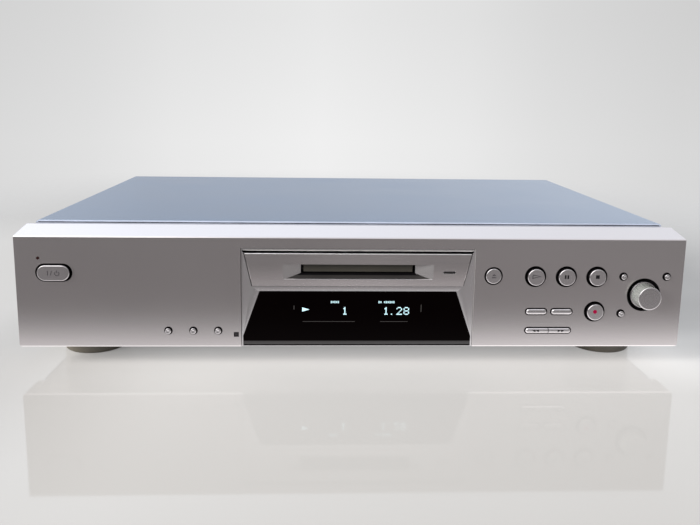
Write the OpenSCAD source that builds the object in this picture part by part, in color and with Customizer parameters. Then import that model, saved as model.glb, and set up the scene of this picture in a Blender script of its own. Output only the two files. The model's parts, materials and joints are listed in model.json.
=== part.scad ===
// Hi-fi width disc recorder. Millimetres, X to the right, front faces -Y, Z up.
// Most shapes are written from the panel datum (front face y = 0, panel
// bottom z = 0) and moved to the part's origin, under the middle of the box.

/* [Case] */
// width of the front panel
panel_w = 430; // [428:0.5:434]
// height of the front panel's flat face
panel_h = 72.8; // [72:0.1:74]
// depth from the front face to the cover's rear edge
body_d = 266; // [266:1:280]
// wall of the moulded front panel
panel_t = 2.4; // [2:0.1:2.4]
// sheet of the top cover
cover_t = 1.0; // [0.8:0.1:1]
// sheet of the chassis and rear panel
sheet_t = 1.2; // [1:0.1:1.2]
// radius of a foot
foot_r = 22.2; // [19:0.1:23]
// height of a foot under the panel's lower edge
foot_h = 16; // [12:0.5:18]

/* [Controls] */
// gap all round each small button in its hole
button_gap = 0.6; // [0.5:0.05:0.7]
// gap all round the large round buttons
round_gap = 1.45; // [1.2:0.05:1.6]
// how far a button can be pressed
button_travel = 0.8; // [0.4:0.1:0.8]
// how far the large round buttons stand out
button_reach = 2.5; // [1.8:0.1:2.8]
// radius of the jog knob's face
knob_r = 7.6; // [7:0.1:8]
// how far the jog knob stands out
knob_reach = 9.4; // [9:0.1:10]

/* [Disc slot] */
// clear width of the disc slot
slot_w = 74.4; // [74:0.1:74.6]
// clear height of the disc slot
slot_h = 6.8; // [6.4:0.1:6.8]
// drop of the disc holder onto the turntable
holder_drop = 4.5; // [4:0.1:4.5]
// stroke of the loading slide
cam_stroke = 12; // [11:0.5:12]

/* [Rear] */
// outside radius of a line jack's shell
jack_r = 4.15; // [4.05:0.05:4.2]
// how far the line jacks stand out behind the cover
jack_reach = 7.4; // [7:0.1:8]
// bore of the mains cord's gland
gland_r = 3.3; // [3:0.1:3.6]

/* [Hidden] */
$fn = 64;
yo = -(body_d + jack_reach - knob_reach)/2;
zo = foot_h;
W2 = panel_w/2;
C2 = W2 - 3;                 // cover half width
xc = 1.8;                    // middle of the slot and display
bev_y = 20.85;               // rear edge of the sloped top
bev_z = panel_h + 3.84;
cov_y = 27.6;                // front edge of the cover
cov_z = panel_h + 5.0;       // top of the cover
rear_y = body_d - 2.3;       // front face of the rear panel
gap = button_gap;
pgap = button_gap + 0.1;       // around the pills
fz = -foot_h;
foot_x = 182;
foot_y = [50.5, 228];
slot_z0 = 48.4;
piv_y = 6.6; piv_z = 56.0;   // slot door hinge
dc_y = 51.5;                 // disc centre
pin_y = [32, 76];            // holder pins
pin_z = 50.5;
gear_y = 64; gear_z = 32;    // drive gear
mot_y = 79; mot_z = 24;      // loading motor
kx = 189.5; kz = 35.6;       // jog knob
// large round buttons: x, z, hole radius
B_eject = [89.5, 47.95, 6.0];
B_play = [117.05, 47.65, 7.0];
B_pause = [137.35, 47.65, 7.0];
B_stop = [157.5, 47.6, 7.0];
B_rec = [157.45, 24.2, 6.9];
// small round buttons
B_mode = [-120.3, 11, 2.7];
B_repeat = [-104.3, 11, 2.7];
B_scroll = [-88.4, 11, 2.7];
B_menu = [175.2, 47.9, 2.8];
B_enter = [203.95, 47.9, 2.8];
B_clear = [175.1, 22.95, 2.8];
round_all = [B_eject, B_play, B_pause, B_stop, B_rec, B_mode, B_repeat,
             B_scroll, B_menu, B_enter, B_clear];
// pills: x, z, width, height of the hole
P_power = [-190.85, 49.3, 23.1, 11.8];
P_input = [118.75, 24.1, 14.9, 5.0];
P_recm = [135.55, 24.1, 15.1, 5.0];
P_seek = [127.2, 11.25, 31.4, 4.8];
pills = [P_power, P_input, P_recm, P_seek];
// front board posts, screws
posts = [[-198, 30], [-150, 30], [-90, 40], [92, 14], [100, 58], [147, 35], [206, 14]];
board_posts = [[-188, 100], [-68, 100], [-188, 244], [-68, 244]];
side_screw_y = [80, 214];
rear_screw_x = [-190, 0, 190];
lower_screw_x = [-200, -40, 60, 200];
leg_x = [-43, 43]; leg_y = [29, 109];
jack_x = [-170, -150]; jack_z = [28, 46];
opt_x = [-108, -88]; opt_z = 22;
gland_x = 178; gland_z = 22;

// ---- helpers -------------------------------------------------------------
module at() translate([0, yo, zo]) children();
module xz(y0, y1) translate([0, y1, 0]) rotate([90, 0, 0]) linear_extrude(y1 - y0) children();
module yz(x0, x1) translate([x0, 0, 0]) rotate([90, 0, 90]) linear_extrude(x1 - x0) children();
module box(a, b) translate(a) cube(b - a);
module cx(y, z, r, x0, x1) translate([x0, y, z]) rotate([0, 90, 0]) cylinder(r = r, h = x1 - x0);
module cy(x, z, r, y0, y1) translate([x, y1, z]) rotate([90, 0, 0]) cylinder(r = r, h = y1 - y0);
module cz(x, y, r, z0, z1) translate([x, y, z0]) cylinder(r = r, h = z1 - z0);
module pill(w, h) {
  square([w - h, h], center = true);
  for (s = [-1, 1]) translate([s*(w - h)/2, 0]) circle(r = h/2);
}
// trapezoid about xc: [half width, z] at the top and at the bottom
module trap(ht, zt, hb, zb) polygon([[xc - ht, zt], [xc + ht, zt], [xc + hb, zb], [xc - hb, zb]]);

// ---- front panel ---------------------------------------------------------
module front_panel() color("silver") at() {
  difference() {
    union() {
      intersection() {
        yz(-W2, W2) polygon([[0.8, 0], [0, 0.8], [0, panel_h - 0.6], [0.6, panel_h],
          [bev_y, bev_z], [bev_y, 0]]);
        xz(-1, 30) {
          translate([-W2 + 2, 0]) square([2*W2 - 4, 90]);
          translate([-W2, 2]) square([2*W2, 88]);
          for (s = [-1, 1]) translate([s*(W2 - 2), 2]) circle(r = 2);
        }
      }
      // step that goes back under the cover
      box([-W2 + 4.5, bev_y - 0.35, 2.5], [W2 - 4.5, 36, bev_z - 0.14]);
    }
    yz(-W2 + 2.2, W2 - 2.2) polygon([[panel_t, 2], [18.5, 2], [18.5, panel_h + 1.2], [panel_t, panel_h - 1.9]]);
    box([-W2 + 6, 18.4, 2], [W2 - 6, 40, bev_z - 1.8]);
    // middle opening
    box([xc - 75.4, -1, -1], [xc + 75.4, 3.2, 65.6]);
    for (b = round_all) cy(b[0], b[1], b[2], -1, 5);
    for (p = pills) translate([p[0], 0, p[1]]) xz(-1, 5) pill(p[2], p[3]);
    cy(kx, kz, 11.1, -1, 5);
    cy(-200.5, 58.6, 1.05, -1, 5);
  }
  // cup behind the knob
  difference() {
    cy(kx, kz, 12.6, panel_t - 0.2, 3.8);
    cy(kx, kz, 11.1, -1, 3.0);
    cy(kx, kz, 4.2, 2, 5);
  }
  // raised rim of the power button
  difference() {
    translate([P_power[0], 0, P_power[1]]) xz(-0.35, 0.3) pill(P_power[2] + 1.4, P_power[3] + 1.4);
    translate([P_power[0], 0, P_power[1]]) xz(-1, 1) pill(P_power[2], P_power[3]);
  }
  // posts for the front board
  for (p = posts) difference() {
    cy(p[0], p[1], 3, panel_t - 0.2, 9.0);
    cy(p[0], p[1], 1.5, 4.2, 10);
  }
}

module centre_frame() color("gainsboro") at() {
  difference() {
    union() {
      box([xc - 75.2, 0.8, 0.2], [xc + 75.2, 3.1, 65.4]);
      box([xc - 79, panel_t + 0.05, 3.4], [xc + 79, 4.2, 69]);
      // sloped band between the slot panel and the window
      intersection() {
        xz(-0.2, 2.6) trap(68.5, 40.55, 64.6, 37.35);
        yz(-100, 100) polygon([[0.35, 40.55], [0.8, 37.35], [2.6, 37.35], [2.6, 40.55]]);
      }
    }
    box([xc - 74.4, -1, 62.7], [xc + 74.4, 2.3, 64.6]);
    box([xc - 74.4, 2.2, 62.7], [xc + 74.4, 3.7, 63.5]);
    // seats of the slot panel and the window
    xz(-1, 2.7) trap(73.7, 62.75, 68.68, 40.6);
    xz(-1, 2.7) polygon([[xc - 63.8, 37.3], [xc + 63.8, 37.3], [xc + 74.25, 7.0], [xc + 74.25, 0.55],
      [xc - 74.25, 0.55], [xc - 74.25, 7.0]]);
    box([xc - 66, 2, 43], [xc + 66, 6, 60.6]);
    box([xc - 61, 2, 6.5], [xc + 61, 6, 35.4]);
  }
}

module slot_panel() color("silver") at() {
  difference() {
    union() {
      intersection() {
        xz(-0.2, 2.6) trap(73.1, 62.4, 68.2, 40.8);
        yz(-100, 100) polygon([[0.35, 62.4], [-0.05, 62.0], [-0.15, 56], [-0.1, 50], [0.1, 45], [0.35, 40.8],
          [2.6, 40.8], [2.6, 62.4]]);
      }
      box([xc - 41, 2.4, 43.4], [xc + 41, 14.5, 60.2]);
      box([xc - 51, 2.4, 43.4], [xc + 51, 6.2, 57]);
    }
    // funnel in front of the door
    intersection() {
      translate([0, 0, 40]) linear_extrude(slot_z0 + slot_h - 40)
        polygon([[xc - 50.6, -1], [xc + 50.6, -1], [xc + slot_w/2, 4.8], [xc - slot_w/2, 4.8]]);
      yz(-100, 100) polygon([[-1, 44.5], [-1, 60], [4.8, 60], [4.8, slot_z0], [3.4, 47.35], [0.75, 45.6], [-0.2, 45.1]]);
    }
    // throat
    box([xc - slot_w/2, 4.7, slot_z0], [xc + slot_w/2, 15, 58.2]);
    box([xc - slot_w/2, 4, slot_z0], [xc + slot_w/2, 5, slot_z0 + slot_h]);
    // hinge bores of the door
    for (s = [-1, 1]) cx(piv_y, piv_z, 0.76, xc + s*38.2 - 1.2, xc + s*38.2 + 1.2);
    // lamp slit
    box([57.0, -1, 49.55], [64.5, 5, 50.65]);
  }
}

module display_window() color("black") at() {
  intersection() {
    xz(0.4, 2.6) polygon([[xc - 63.65, 37.15], [xc + 63.65, 37.15], [xc + 74.1, 7.0], [xc + 74.1, 0.7],
      [xc - 74.1, 0.7], [xc - 74.1, 7.0]]);
    yz(-100, 100) polygon([[0.5, 3.9], [0.5, 36.8], [0.8, 37.15], [2.6, 37.15], [2.6, 0.7], [1.6, 0.7]]);
  }
}

module standby_lamp() color("darkred") at() {
  cy(-200.5, 58.6, 0.95, -0.15, 4.0);
  cy(-200.5, 58.6, 1.6, panel_t + 0.1, 4.0);
}
module disc_lamp() color("orange") at() {
  box([57.15, -0.3, 49.65], [64.35, 3.4, 50.55]);
  box([58, 3.2, 49.2], [63.5, 5.6, 51]);
}

module slot_door() color("dimgray") at() {
  difference() {
    union() {
      box([xc - 35.5, piv_y - 0.7, 49.0], [xc + 35.5, piv_y + 0.3, piv_z]);
      cx(piv_y, piv_z, 1.0, xc - 36.9, xc + 36.9);
      for (s = [-1, 1]) cx(piv_y, piv_z, 0.7, xc + s*37.9 - 1.1, xc + s*37.9 + 1.1);
      // stiffening rib along the lower edge
      box([xc - 34.5, piv_y + 0.2, 49.2], [xc + 34.5, piv_y + 0.8, 50]);
    }
    difference() {
      cx(piv_y, piv_z, 2.2, xc - 33.5, xc - 27.5);
      cx(piv_y, piv_z, 1.0, xc - 34, xc - 27);
    }
  }
}
module door_spring() color("slategray") at() {
  difference() {
    union() {
      for (i = [0:4]) cx(piv_y, piv_z, 1.85, xc - 33 + i*1.0, xc - 32.25 + i*1.0);
      cx(piv_y, piv_z, 1.65, xc - 33, xc - 28.25);
    }
    cx(piv_y, piv_z, 1.35, xc - 34, xc - 27);
  }
  box([xc - 33, piv_y - 0.3, piv_z + 1.6], [xc - 32.4, piv_y + 0.3, 58.2]);
}

// ---- buttons -------------------------------------------------------------
// round cap on a flange and a plunger; c is the width of its rounded edge and
// dish the radius of the hollow in its face
module rbutton(b, g, reach, c, dish) at() {
  r = b[2] - g;
  translate([b[0], 0, b[1]]) rotate([90, 0, 0]) rotate_extrude() polygon(concat(
    [[0, -6.2], [min(2, r), -6.2], [min(2, r), -4], [b[2] + 0.8, -4], [b[2] + 0.8, -3], [r, -3],
     [r, reach - c], [r - 0.14*c, reach - 0.48*c], [r - 0.48*c, reach - 0.14*c], [r - c, reach]],
    dish > 0 ? [[dish, reach], [dish*0.55, reach - 0.2], [0, reach - 0.28]] : [[0, reach]]));
}
// long cap with round ends: half is its outline from the middle out, [radius, height]
module pillcap(w, h, half, back) {
  n = len(half);
  for (s = [-1, 1]) translate([s*(w - h)/2, 0, 0]) rotate([90, 0, 0]) rotate_extrude()
    polygon(concat([[0, back]], [[h/2, back]], [for (i = [n-1:-1:0]) half[i]], [[0, half[0][1]]]));
  yz(-(w - h)/2, (w - h)/2) polygon(concat(
    [for (i = [0:n-1]) [-half[i][1], half[i][0]]], [[-back, h/2], [-back, -h/2]],
    [for (i = [n-1:-1:0]) [-half[i][1], -half[i][0]]]));
}
function slim(h, reach) = [[0.35, reach], [1.0, reach - 0.12], [h/2 - 0.35, reach - 0.42], [h/2, reach - 0.85]];
module pbutton(p, reach) at() translate([p[0], 0, p[1]]) {
  w = p[2] - 2*pgap; h = p[3] - 2*pgap;
  pillcap(w, h, slim(h, reach), -3.5);
  xz(3.0, 4.0) pill(w + 1.4, h + 2);
  cy(0, 0, min(2, h/2), 3.9, 6.2);
}
module seek(s) at() {
  w = P_seek[2] - 2*pgap; h = P_seek[3] - 2*pgap; x = P_seek[0]; z = P_seek[1];
  intersection() {
    translate([x, 0, z]) union() {
      pillcap(w, h, slim(h, 1.4), -3.5);
      xz(3.0, 4.0) pill(w + 1.4, h + 2);
    }
    if (s < 0) box([x - 40, -5, 0], [x - 0.2, 10, 30]);
    else box([x + 0.2, -5, 0], [x + 40, 10, 30]);
  }
  cy(x + s*8, z, min(1.9, h/2), 3.9, 6.2);
}
module power_button() color("silver") at() translate([P_power[0], 0, P_power[1]]) {
  w = P_power[2] - 2.9; h = P_power[3] - 1.7; c = 0.8; r = h/2; k = 2.2;
  pillcap(w, h, [[r - c, k], [r - 0.48*c, k - 0.14*c], [r - 0.14*c, k - 0.48*c], [r, k - c]], -3.5);
  xz(3.0, 4.0) pill(w + 3.6, h + 3.2);
  cy(0, 0, 2, 3.9, 6.2);
}
module mode_button() color("silver") rbutton(B_mode, 0.75, 1.8, 0.6, 1.1);
module repeat_button() color("silver") rbutton(B_repeat, 0.75, 1.8, 0.6, 1.1);
module scroll_button() color("silver") rbutton(B_scroll, 0.75, 1.8, 0.6, 1.1);
module eject_button() color("silver") rbutton(B_eject, 0.95, 1.1, 0.75, 0);
module play_button() color("silver") rbutton(B_play, round_gap, button_reach, 0.8, 0);
module pause_button() color("silver") rbutton(B_pause, round_gap, button_reach, 0.8, 0);
module stop_button() color("silver") rbutton(B_stop, round_gap, button_reach, 0.8, 0);
module record_button() color("silver") rbutton(B_rec, round_gap, button_reach, 0.8, 0);
module menu_button() color("silver") rbutton(B_menu, 0.95, 1.8, 0.7, 0.95);
module enter_button() color("silver") rbutton(B_enter, 0.95, 1.8, 0.7, 0.95);
module clear_button() color("silver") rbutton(B_clear, 0.95, 1.8, 0.7, 0.95);
module input_button() color("silver") pbutton(P_input, 1.4);
module rec_mode_button() color("silver") pbutton(P_recm, 1.4);
module rewind_button() color("silver") seek(-1);
module forward_button() color("silver") seek(1);

// ---- jog knob ------------------------------------------------------------
module jog_knob() color("silver") at() {
  k = knob_reach; r = knob_r;
  translate([kx, 0, kz]) rotate([90, 0, 0]) rotate_extrude() polygon([[0, 6.3], [3.03, 6.3], [3.03, -1.6],
    [r + 0.8, -1.6], [r + 1.15, -1.2], [r + 1.15, 0.3], [r + 1.0, 0.55], [r + 0.82, 0.55], [r + 0.7, 0.4],
    [r + 0.62, 0.8], [r + 0.45, 1.7], [r + 0.28, 3.2], [r + 0.12, 5.2], [r, 7.2], [r, k - 0.85],
    [r - 0.14, k - 0.4], [r - 0.45, k - 0.12], [r - 0.85, k], [0, k]]);
}
module knob_shaft() color("dimgray") at() {
  cy(kx, kz, 3.0, -6.2, 7.8);
}
module encoder_rotor() color("ivory") at() {
  difference() {
    cy(kx, kz, 5.2, 5.6, 7.6);
    cy(kx, kz, 3.04, 5, 8);
    for (i = [0:11]) translate([kx, 0, kz]) rotate([0, i*30, 0]) box([4.3, 7.2, -0.3], [5.0, 8, 0.3]);
  }
}
module knob_encoder() color("darkolivegreen") at() {
  difference() {
    box([kx - 6.5, 4.0, kz - 6.5], [kx + 6.5, 9.0, kz + 6.5]);
    cy(kx, kz, 5.6, 5.2, 8.1);
    cy(kx, kz, 3.07, 3, 10);
  }
}

// ---- front electronics ---------------------------------------------------
module front_board() color("darkgreen") at() {
  difference() {
    box([-206, 9.0, 4], [208.5, 10.6, 62]);
    box([-52, 8, 40], [56, 12, 70]);
    for (p = posts) cy(p[0], p[1], 1.7, 8, 12);
    cy(kx, kz, 2.0, 8, 12);
  }
}
module tact(x, z) {
  box([x - 3, 7.6, z - 3], [x + 3, 9.0, z + 3]);
  cy(x, z, 1.7, 7.3, 7.7);
}
module switch_set() color("darkslategray") at() {
  for (b = round_all) tact(b[0], b[1]);
  tact(P_power[0], P_power[1]);
  tact(P_input[0], P_input[1]);
  tact(P_recm[0], P_recm[1]);
  for (s = [-1, 1]) tact(P_seek[0] + s*8, P_seek[1]);
}
module display_tube() color("darkslateblue") at() {
  difference() {
    box([xc - 58, 4.6, 9], [xc + 58, 8.6, 34]);
    box([xc - 55, 4, 11.5], [xc + 55, 4.9, 31.5]);
  }
  for (i = [0:23]) box([xc - 52 + i*4.5, 8.5, 9.6], [xc - 51.4 + i*4.5, 9.0, 11]);
}

// ---- case ----------------------------------------------------------------
module arch(w, zt, r, z0) {
  translate([-w, z0]) square([2*w, zt - r - z0]);
  translate([-w + r, z0]) square([2*w - 2*r, zt - z0]);
  for (s = [-1, 1]) translate([s*(w - r), zt - r]) circle(r = r);
}
module top_cover() color("lightsteelblue") at() {
  difference() {
    union() {
      difference() {
        xz(cov_y, body_d) arch(C2, cov_z, 2.2, 1.4);
        xz(cov_y - 1, body_d + 1) arch(C2 - cover_t, cov_z - cover_t, 1.2, 0);
      }
      box([-C2 + 1.6, body_d - 1, 66], [C2 - 1.6, body_d, cov_z - 0.8]);
    }
    for (y = side_screw_y) cx(y, 8.5, 1.7, -W2, W2);
    for (x = rear_screw_x) cy(x, 71, 1.7, body_d - 2, body_d + 1);
  }
}
module chassis() color("gray") at() {
  t = sheet_t;
  difference() {
    union() {
      box([-W2 + 5, 21.3, 1], [W2 - 5, body_d - 2.4, 1 + t]);
      for (s = [-1, 1]) box([s > 0 ? W2 - 5 - t : -W2 + 5, 36.5, 1], [s > 0 ? W2 - 5 : -W2 + 5 + t, body_d - 4, 14]);
      box([-W2 + 7.5, 22, 1], [W2 - 7.5, 22 + t, 62]);
      box([-W2 + 8, rear_y - 0.1 - t, 1], [W2 - 8, rear_y - 0.1, 11.2]);
      for (p = board_posts) cz(p[0], p[1], 3, 1.5, 10);
    }
    // room for the disc mechanism and the cables
    box([xc - 50, 20, 30], [xc + 50, 25, 70]);
    box([-150, 20, 18], [-90, 25, 40]);
    box([90, 20, 18], [190, 25, 50]);
    for (x = [-foot_x, foot_x]) for (y = foot_y) cz(x, y, 1.5, 0, 3);
    for (x = leg_x) for (y = leg_y) cz(xc + x, y, 1.5, 0, 3);
    for (p = board_posts) cz(p[0], p[1], 1.5, 4, 11);
    for (y = side_screw_y) cx(y, 8.5, 1.5, -W2, W2);
    for (x = lower_screw_x) cy(x, 7.5, 1.5, rear_y - 3, rear_y + 1);
    for (x = [108, 172]) cz(x, 145, 1.5, 0, 3);
    // cooling slots under the transformer
    for (i = [0:5]) box([118 + i*8, 110, 0], [121 + i*8, 124, 3]);
  }
}
module rear_panel() color("darkgray") at() {
  difference() {
    box([-W2 + 5, rear_y, 2.4], [W2 - 5, rear_y + sheet_t, 76.5]);
    for (x = jack_x) for (z = jack_z) cy(x, z, jack_r + 0.5, rear_y - 1, rear_y + 3);
    for (x = opt_x) box([x - 5.2, rear_y - 1, opt_z - 4.7], [x + 5.2, rear_y + 3, opt_z + 4.7]);
    cy(gland_x, gland_z, 7.15, rear_y - 1, rear_y + 3);
    for (x = rear_screw_x) cy(x, 71, 1.5, rear_y - 1, rear_y + 3);
    for (x = lower_screw_x) cy(x, 7.5, 1.7, rear_y - 1, rear_y + 3);
    for (i = [0:9]) translate([60 + i*8, 0, 52]) xz(rear_y - 1, rear_y + 3) rotate(90) pill(16, 3);
  }
}
module foot(x, y) color("dimgray") at() translate([x, y, 0]) rotate_extrude() polygon([[1.7, 1.0],
  [foot_r, 1.0], [foot_r, -2], [foot_r - 0.3, fz + 0.9], [foot_r - 0.8, fz], [foot_r - 7.5, fz],
  [foot_r - 8, fz + 1.2], [6, fz + 1.2], [6, -3], [1.7, -3]]);
module foot_front_left() foot(-foot_x, foot_y[0]);
module foot_front_right() foot(foot_x, foot_y[0]);
module foot_rear_left() foot(-foot_x, foot_y[1]);
module foot_rear_right() foot(foot_x, foot_y[1]);

// one pan head screw: head above z = 0, shank below
module screw() difference() {
  union() {
    cylinder(r = 2.8, h = 1.5);
    translate([0, 0, 1.5]) cylinder(r1 = 2.8, r2 = 2.2, h = 0.4);
    translate([0, 0, -5.5]) cylinder(r = 1.45, h = 5.6);
  }
  box([-1.6, -0.3, 0.9], [1.6, 0.3, 3]);
  box([-0.3, -1.6, 0.9], [0.3, 1.6, 3]);
}
module screws() color("slategray") at() {
  for (y = side_screw_y) {
    translate([C2, y, 8.5]) rotate([0, 90, 0]) screw();
    translate([-C2, y, 8.5]) rotate([0, -90, 0]) screw();
  }
  for (x = rear_screw_x) translate([x, body_d, 71]) rotate([-90, 0, 0]) screw();
  for (x = lower_screw_x) translate([x, rear_y + sheet_t, 7.5]) rotate([-90, 0, 0]) screw();
  for (x = [-foot_x, foot_x]) for (y = foot_y) translate([x, y, -3]) rotate([180, 0, 0]) screw();
  for (x = leg_x) for (y = leg_y) translate([xc + x, y, 1]) rotate([180, 0, 0]) screw();
  for (p = board_posts) translate([p[0], p[1], 11.6]) screw();
  for (p = posts) translate([p[0], 10.6, p[1]]) rotate([-90, 0, 0]) screw();
  for (x = [108, 172]) translate([x, 145, 4.2]) screw();
}

// ---- rear sockets --------------------------------------------------------
module jack_block() color("black") at() {
  difference() {
    box([jack_x[0] - 10, 250, 11.6], [jack_x[1] + 10, rear_y - 0.1, jack_z[1] + 9]);
    for (x = jack_x) for (z = jack_z) cy(x, z, jack_r - 0.37, 254, rear_y + 1);
  }
  for (x = jack_x) for (z = jack_z) difference() {
    cy(x, z, jack_r - 0.85, 253.5, body_d + jack_reach - 1.2);
    cy(x, z, 1.65, 258, 300);
  }
}
module jack_shells() color("gold") at() {
  for (x = jack_x) for (z = jack_z) difference() {
    union() {
      cy(x, z, jack_r, 265, body_d + jack_reach);
      cy(x, z, jack_r - 0.4, 254.2, 265.1);
    }
    cy(x, z, jack_r - 0.8, 250, 300);
  }
}
module optical_sockets() color("dimgray") at() {
  for (x = opt_x) difference() {
    union() {
      box([x - 8, 250, 11.6], [x + 8, rear_y - 0.1, 30]);
      box([x - 5, 250, opt_z - 4.5], [x + 5, body_d + 0.6, opt_z + 4.5]);
    }
    box([x - 3.1, 256, opt_z - 3.1], [x + 3.1, 300, opt_z + 3.1]);
  }
}
module cord_gland() color("black") at() {
  translate([gland_x, rear_y, gland_z]) rotate([-90, 0, 0]) rotate_extrude() polygon([[gland_r, -5],
    [8.6, -5], [8.6, -0.1], [7.05, -0.1], [7.05, sheet_t + 0.05], [9.2, sheet_t + 0.05], [9.2, 2.6],
    [7.6, 3.4], [6.2, 7.5], [gland_r, 7.5]]);
}

// ---- boards and transformer ----------------------------------------------
module main_board() color("darkgreen") at() {
  difference() {
    box([-195, 92, 10], [-60, 258, 11.6]);
    for (p = board_posts) cz(p[0], p[1], 1.7, 9, 12);
  }
}
module ribbon_cable() color("white") at() {
  yz(-140, -110) polygon([[10.6, 26], [30, 26], [94, 14], [98, 14], [98, 11.6], [98.4, 11.6], [98.4, 14.4],
    [94, 14.4], [30, 26.4], [10.6, 26.4]]);
}
module transformer_core() color("gray") at() {
  difference() {
    union() {
      box([112, 130, 4.2], [168, 160, 52.2]);
      box([103, 139, 1 + sheet_t], [177, 151, 4.2]);
    }
    box([121, 129, 13], [131, 161, 43]);
    box([149, 129, 13], [159, 161, 43]);
    for (x = [108, 172]) cz(x, 145, 1.6, 0, 8);
  }
}
module transformer_coil() color("peru") at() {
  difference() {
    box([121.3, 120, 13.3], [158.7, 170, 42.7]);
    box([130.7, 129.7, 10], [149.3, 160.3, 50]);
  }
}

// ---- disc mechanism ------------------------------------------------------
// involute spur gear outline, module 1
function inv(a) = tan(a)*180/PI - a;
function half(N, rho, bl) = (PI/2 - bl)/N*180/PI + inv(20)
  - (rho > N/2*cos(20) ? inv(acos(N/2*cos(20)/rho)) : 0);
function outline(N, ph, bl, add, ded) = let (rp = N/2, r0 = rp - ded, r1 = rp + add, rb = max(r0, rp*cos(20)))
  [for (i = [0:N - 1]) for (q = [0:9])
    let (up = q < 5, j = up ? q : 9 - q,
         rho = j == 0 ? r0 : rb + (r1 - rb)*(j - 1)/3,
         h = half(N, rho, bl), a = ph + i*360/N + (up ? -h : h))
    [rho*cos(a), rho*sin(a)]];
phi = atan2(mot_z - gear_z, mot_y - gear_y);
frac = ((phi - 90)/18) - floor((phi - 90)/18);
pin_ph = phi + 180 + frac*18*20/14 + 180/14;

module drive_gear() color("ivory") at() {
  difference() {
    translate([0, gear_y, gear_z]) yz(xc + 39.2, xc + 41.4) polygon(outline(20, 90, 0.15, 0.75, 1.1));
    cx(gear_y, gear_z, 1.56, xc + 38, xc + 43);
  }
}
module motor_pinion() color("ivory") at() {
  translate([0, mot_y, mot_z]) yz(xc + 39.2, xc + 41.4) polygon(outline(14, pin_ph, 0.15, 0.75, 1.1));
  cx(mot_y, mot_z, 1.0, xc + 20, xc + 39.4);
}
module loading_motor() color("lightgray") at() {
  difference() {
    union() {
      cx(mot_y, mot_z, 7.5, xc + 14, xc + 36.2);
      cx(mot_y, mot_z, 3, xc + 36.1, xc + 38);
      cx(mot_y, mot_z, 2.5, xc + 12, xc + 14.1);
    }
    cx(mot_y, mot_z, 1.06, xc + 19.5, xc + 40);
  }
}
module mech_frame() color("darkgray") at() {
  difference() {
    union() {
      box([xc - 46, 26, 36], [xc + 46, 112, 37.5]);
      for (s = [-1, 1]) box([xc + s*43.35 - 0.75, 26, 37], [xc + s*43.35 + 0.75, 112, 58]);
      box([xc - 44.1, 101, 56.6], [xc + 44.1, 110, 58]);
      for (x = leg_x) for (y = leg_y) box([xc + x - 3, y - 3, 1 + sheet_t], [xc + x + 3, y + 3, 36.5]);
      // ears of the head arm
      for (x = [10, 28.4]) box([xc + x, 95, 56.6], [xc + x + 1.6, 102, 60]);
      // bracket of the loading motor and gear
      box([xc + 36.3, 48, 14], [xc + 37.8, 90, 36.5]);
      cx(gear_y, gear_z, 1.5, xc + 37, xc + 42.2);
      // bearings of the guide rod and lead screw
      box([xc + 37.3, 33, 37], [xc + 38.5, 40, 42.6]);
      box([xc + 37.3, 63, 37], [xc + 38.5, 70, 42.6]);
      box([xc - 16, 63, 37], [xc - 14, 70, 43.5]);
    }
    box([xc + 38.6, 52, 35], [xc + 42.3, 76, 38]);
    for (s = [-1, 1]) for (y = pin_y) box([xc + s*43.35 - 2, y - 1.35, 44.4], [xc + s*43.35 + 2, y + 1.35, 52.2]);
    cx(mot_y, mot_z, 3.1, xc + 36, xc + 39);
    cx(36.5, 41, 1.56, xc + 36, xc + 40);
    cx(66.5, 41, 1.5, xc + 36, xc + 40);
    cx(66.5, 41, 1.5, xc - 20, xc - 10);
    for (x = leg_x) for (y = leg_y) cz(xc + x, y, 1.5, 1, 9);
    // window under the pickup
    box([xc + 12, 44, 35], [xc + 36, 59, 38]);
  }
  cx(97, 58, 1.0, xc + 11, xc + 29);
}
module cartridge_holder() color("lightgray") at() {
  difference() {
    box([xc - 38, 16, 47.6], [xc + 38, 90, 55.2]);
    box([xc - 36.6, 15, 48.6], [xc + 36.6, 88.6, 54.2]);
    box([xc - 31, 15, 47], [xc + 31, 84, 49]);
    box([xc + 26, 44, 47], [xc + 39, 59, 50]);
    box([xc + 10, 40, 54], [xc + 30, 91, 56]);
  }
  for (s = [-1, 1]) for (y = pin_y) cx(y, pin_z, 1.0, xc + s*40.7 - 2.9, xc + s*40.7 + 2.9);
}
module cam_slot(y) {
  h = holder_drop; w = 1.35;
  translate([y, pin_z]) circle(r = w);
  translate([y + cam_stroke, pin_z - h]) circle(r = w);
  polygon(let (L = sqrt(cam_stroke*cam_stroke + h*h), n = [h/L*w, cam_stroke/L*w])
    [[y + n[0], pin_z + n[1]], [y + cam_stroke + n[0], pin_z - h + n[1]],
     [y + cam_stroke - n[0], pin_z - h - n[1]], [y - n[0], pin_z - n[1]]]);
}
module slide_cam() color("khaki") at() {
  for (s = [-1, 1]) yz(xc + s*40.3 - 1, xc + s*40.3 + 1) difference() {
    translate([27.5, 43]) square([77.5, 12]);
    for (y = pin_y) cam_slot(y);
  }
  // rack over the drive gear
  yz(xc + 39.3, xc + 41.3) for (k = [-2:6]) translate([gear_y + PI/2 + k*PI, 42])
    polygon([[-0.437, -0.75], [0.437, -0.75], [1.147, 1.2], [-1.147, 1.2]]);
  box([xc - 41.3, 103, 46], [xc + 41.3, 105, 54]);
}
module spindle_motor() color("silver") at() {
  difference() {
    union() { cz(xc, dc_y, 11, 37.5, 40.6); cz(xc, dc_y, 4, 40, 41.2); }
    cz(xc, dc_y, 1.06, 38.3, 45);
  }
}
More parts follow.
